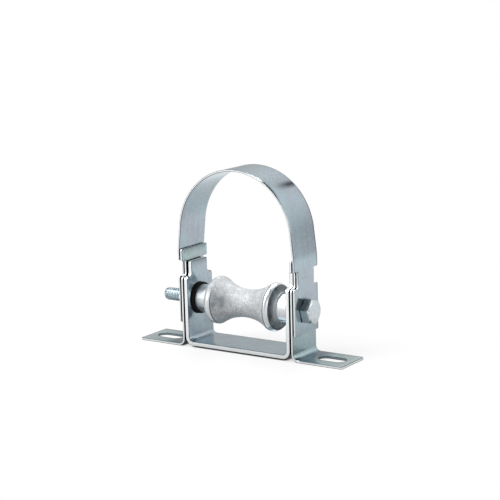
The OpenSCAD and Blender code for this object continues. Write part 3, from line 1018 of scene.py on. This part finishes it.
def hex_rings(x_face, towards):
    """Rings of a hexagon block's turned face: its flat disc, then the arcs between chamfer and sides."""
    face_r = HEX_HALF * HEX_FACE_SHARE
    angles = [math.tau * k / HEX_SEGMENTS for k in range(HEX_SEGMENTS)]
    slope = math.tan(CHAMFER_ANGLE)
    arcs = [(x_face - towards * (hex_radius(a) - face_r) * slope, hex_radius(a)) for a in angles]
    return [[(x_face, face_r)] * HEX_SEGMENTS, arcs]


def even_ring(x, radius):
    """Ring of one radius."""
    return [(x, radius)] * HEX_SEGMENTS


def hex_ring(x):
    """Ring along the hexagon's sides."""
    return [(x, hex_radius(math.tau * k / HEX_SEGMENTS)) for k in range(HEX_SEGMENTS)]


def joined(first, second):
    """One mesh that holds the shells of two."""
    bm = bmesh.new()
    bm.from_mesh(first)
    bm.from_mesh(second)
    bm.to_mesh(first)
    bm.free()
    return first


def bolt_piece():
    """Long hexagon bolt: forged head, plain shank and rolled thread."""
    top = BOLT_HIGH.x
    under = top - BOLT_HEAD_H
    thread_start = BOLT_LOW.x + THREAD_L
    neck_r = 0.5 * MM
    rings = [even_ring(top, HEX_HALF * HEX_DISC_SHARE)] + hex_rings(top, 1)
    rings += [hex_ring(under + WASHER_FACE_H), even_ring(under + WASHER_FACE_H, HEX_HALF * HEX_FACE_SHARE),
              even_ring(under, HEX_HALF * HEX_FACE_SHARE), even_ring(under, BOLT_R),
              even_ring(under - neck_r, BOLT_R), even_ring(thread_start, BOLT_R)]
    shank = ring_shell("hex_bolt", rings, ZINC_BOLT, turn=HEAD_TURN)
    base = bpy.data.meshes.new("thread_base")
    thread = made_by(ROLLED_THREAD, base, "bolt_thread", Segments=THREAD_SEGMENTS, Axle_Height=AXLE_Z,
                     Start=thread_start, Length=THREAD_L, Radius=BOLT_R, Pitch=THREAD_PITCH,
                     Depth=THREAD_DEPTH, Cone=TIP_CONE_L,
                     Rows=int(THREAD_L / THREAD_PITCH * THREAD_ROWS_PER_TURN), Finish=ZINC_BOLT)
    mesh = joined(shank, outward(thread))
    return piece("hex_bolt", mesh, "stand", "axle_bolt", HEX_SHARP_ANGLE)


def nut_piece():
    """Thin hexagon nut, chamfered on both faces."""
    outer, inner = NUT_LOW.x, NUT_HIGH.x
    sink = 0.6 * MM
    rings = [even_ring(outer + sink, NUT_BORE_R), even_ring(outer, NUT_BORE_R + sink)]
    rings += hex_rings(outer, -1) + hex_rings(inner, 1)[::-1]
    rings += [even_ring(inner, NUT_BORE_R + sink), even_ring(inner - sink, NUT_BORE_R)]
    mesh = ring_shell("hex_nut", rings, ZINC_BOLT, ends_closed=False)
    return piece("hex_nut", mesh, "stand", "axle_nut", HEX_SHARP_ANGLE)


strap_piece()
channel_piece()
foot_piece("plated_foot_left", "foot_left", -1)
foot_piece("plated_foot_right", "foot_right", 1)
roller_piece()
washer_piece("black_washer_left", "thrust_washer_left", -1)
washer_piece("black_washer_right", "thrust_washer_right", 1)
sleeve_piece()
bolt_piece()
nut_piece()


# Stage: floor, light and camera

FLOOR_HALF = 14.0
FLOOR_WHITE = 0.27
FLOOR_LIFT = 0.67
FLOOR_FADE = (0.14, 0.27)
# Painted shade in the floor's reflections: near the object and in a spot behind it.
UNDER_FADE = (0.06, 0.24)
UNDER_LEVEL = 0.60
DIM_PLACE = (-0.04, 0.20, 0.0)
DIM_SPREAD = (0.5, 1.0, 1.0)
DIM_FADE = (0.03, 0.075)
DIM_LEVEL = 0.62
# Painted contact shadow on the floor, from ambient occlusion.
CONTACT_REACH = 4.0 * MM
CONTACT_RANGE = (0.15, 0.42)
BRIGHT_FADE = (0.45, 1.2)
BRIGHT_LEVEL = 1.10
FAINT_LEVEL = 0.62
CLOTH_FADE = (1.5, 4.0)
CLOTH_LEVEL = 0.70
CLOTH_RISE = (0.0, 0.40)
CLOTH_LEFT = (-0.50, -0.05)
CLOTH_LEFT_LEVEL = 0.68
CLOTH_RIGHT = (0.65, 0.85)
CLOTH_RIGHT_LEVEL = 1.8
CLOTH_END = (0.58, 0.63)
ROOM_LEVEL = 0.15
FRONT_FADE = (0.10, 0.40)
FRONT_LEVEL = 0.45
BEHIND_FADE = (-0.15, 0.25)


def white_floor():
    """White floor that keeps the shadow near the object, with painted contact shadow and painted shade in
    its reflections there, and is plain white further away.
    """
    material = bpy.data.materials.new("white_floor")
    material.use_nodes = True
    tree = material.node_tree
    tree.nodes.remove(tree.nodes["Principled BSDF"])
    path = add(tree, "ShaderNodeLightPath")
    glossy = path.outputs["Is Glossy Ray"]
    seen = math_node(tree, "MAXIMUM", path.outputs["Is Camera Ray"], glossy)
    white = (FLOOR_WHITE, FLOOR_WHITE, FLOOR_WHITE, 1)
    matt = add(tree, "ShaderNodeBsdfDiffuse", {"Color": white}).outputs[0]
    place = object_place(tree)
    distance = vector_node(tree, "LENGTH", place)["Value"]
    # Painted shade, seen only in reflections: darker near the object and in a spot behind it.
    from_dim = length_from(tree, place, DIM_PLACE, DIM_SPREAD)
    reflection_shaded = multiply(tree, remap(tree, distance, *UNDER_FADE, UNDER_LEVEL, 1.0),
                      remap(tree, from_dim, *DIM_FADE, DIM_LEVEL, 1.0))
    raised = between(tree, glossy, seen, reflection_shaded)
    # Painted contact shadow: the floor's lift fades where ambient occlusion finds the object close.
    contact_shadow = multiply(tree, raised, rising(tree, openness(tree, CONTACT_REACH), CONTACT_RANGE))
    lift = add(tree, "ShaderNodeEmission", {"Strength": multiply(tree, contact_shadow, FLOOR_LIFT)}).outputs[0]
    near = add(tree, "ShaderNodeAddShader", {0: matt, 1: lift}).outputs[0]
    nearer = remap(tree, distance, *BRIGHT_FADE, BRIGHT_LEVEL, FAINT_LEVEL)
    mirrored = between(tree, rising(tree, distance, CLOTH_FADE), nearer, CLOTH_LEVEL)
    far = add(tree, "ShaderNodeEmission", {"Strength": between(tree, glossy, seen, mirrored)}).outputs[0]
    away = multiply(tree, rising(tree, distance, FLOOR_FADE), seen)
    mixed = add(tree, "ShaderNodeMixShader", {0: away, 1: near, 2: far}).outputs[0]
    tree.links.new(mixed, tree.nodes["Material Output"].inputs[0])
    return material


def stage_floor():
    """Floor under the feet."""
    mesh = bpy.data.meshes.new("floor")
    corners = [(-FLOOR_HALF, -FLOOR_HALF, 0), (FLOOR_HALF, -FLOOR_HALF, 0), (FLOOR_HALF, FLOOR_HALF, 0),
               (-FLOOR_HALF, FLOOR_HALF, 0)]
    mesh.from_pydata(corners, [], [(0, 1, 2, 3)])
    mesh.materials.append(white_floor())
    floor = bpy.data.objects.new("floor", mesh)
    bpy.context.scene.collection.objects.link(floor)


def studio_world():
    """White surroundings for the camera, and light from a white backdrop under a dark room."""
    world = bpy.data.worlds.new("studio")
    world.use_nodes = True
    tree = world.node_tree
    tree.nodes.clear()
    path = add(tree, "ShaderNodeLightPath")
    direction = add(tree, "ShaderNodeTexCoord").outputs["Generated"]
    side, depth, height = axes_of(tree, direction)
    rise = remap(tree, height, *CLOTH_RISE, CLOTH_LEVEL, BRIGHT_LEVEL)
    leftward = multiply(tree, rise, remap(tree, side, *CLOTH_LEFT, CLOTH_LEFT_LEVEL, 1.0))
    cloth = multiply(tree, leftward, remap(tree, side, *CLOTH_RIGHT, 1.0, CLOTH_RIGHT_LEVEL))
    backdrop = between(tree, rising(tree, height, CLOTH_END), cloth, ROOM_LEVEL)
    front = remap(tree, height, *FRONT_FADE, FRONT_LEVEL, ROOM_LEVEL)
    level = between(tree, rising(tree, depth, BEHIND_FADE), front, backdrop)
    strength = math_node(tree, "MAXIMUM", level, path.outputs["Is Camera Ray"])
    light = add(tree, "ShaderNodeBackground", {"Color": (1, 1, 1, 1), "Strength": strength}).outputs[0]
    out = add(tree, "ShaderNodeOutputWorld")
    tree.links.new(light, out.inputs[0])
    bpy.context.scene.world = world


def soft_lamp(name, place, size, power):
    """Square soft lamp that looks at the object."""
    data = bpy.data.lights.new(name, "AREA")
    data.shape = "SQUARE"
    data.size = size
    data.energy = power
    lamp = bpy.data.objects.new(name, data)
    lamp.location = place
    lamp.visible_camera = False
    lamp.rotation_mode = "QUATERNION"
    lamp.rotation_quaternion = (CAMERA_TARGET - Vector(place)).to_track_quat("-Z", "Y")
    bpy.context.scene.collection.objects.link(lamp)


def photo_camera():
    """Camera at the photograph's viewing angle and framing."""
    azimuth, elevation = CAMERA_AZIMUTH, CAMERA_ELEVATION
    forward = Vector((-math.sin(azimuth) * math.cos(elevation), math.cos(azimuth) * math.cos(elevation),
                      -math.sin(elevation)))
    right = Vector((math.cos(azimuth), math.sin(azimuth), 0))
    up = right.cross(forward)
    turned_right = right * math.cos(CAMERA_ROLL) + up * math.sin(CAMERA_ROLL)
    turned_up = up * math.cos(CAMERA_ROLL) - right * math.sin(CAMERA_ROLL)
    data = bpy.data.cameras.new("photo_camera")
    data.sensor_width = SENSOR_MM
    data.lens = SENSOR_MM * FOCAL_PX / FRAME_PX
    data.shift_x = (FRAME_PX / 2 - CENTRE_PX[0]) / FRAME_PX
    data.shift_y = (CENTRE_PX[1] - FRAME_PX / 2) / FRAME_PX
    data.clip_start = 0.01
    data.clip_end = 100
    camera = bpy.data.objects.new("photo_camera", data)
    axes = Matrix((turned_right, turned_up, -forward)).transposed().to_4x4()
    camera.matrix_world = Matrix.Translation(CAMERA_TARGET - forward * CAMERA_DISTANCE) @ axes
    bpy.context.scene.collection.objects.link(camera)
    bpy.context.scene.camera = camera


stage_floor()
studio_world()
soft_lamp("left_lamp", (-0.79, -1.09, 0.72), size=1.1, power=9)
soft_lamp("right_lamp", (0.95, -0.85, 0.50), size=0.8, power=5)
soft_lamp("top_lamp", (-0.50, -0.40, 1.12), size=0.8, power=11)
soft_lamp("back_lamp", (-0.25, 0.62, 1.15), size=0.6, power=8)
photo_camera()
bpy.context.scene.view_settings.view_transform = "Standard"
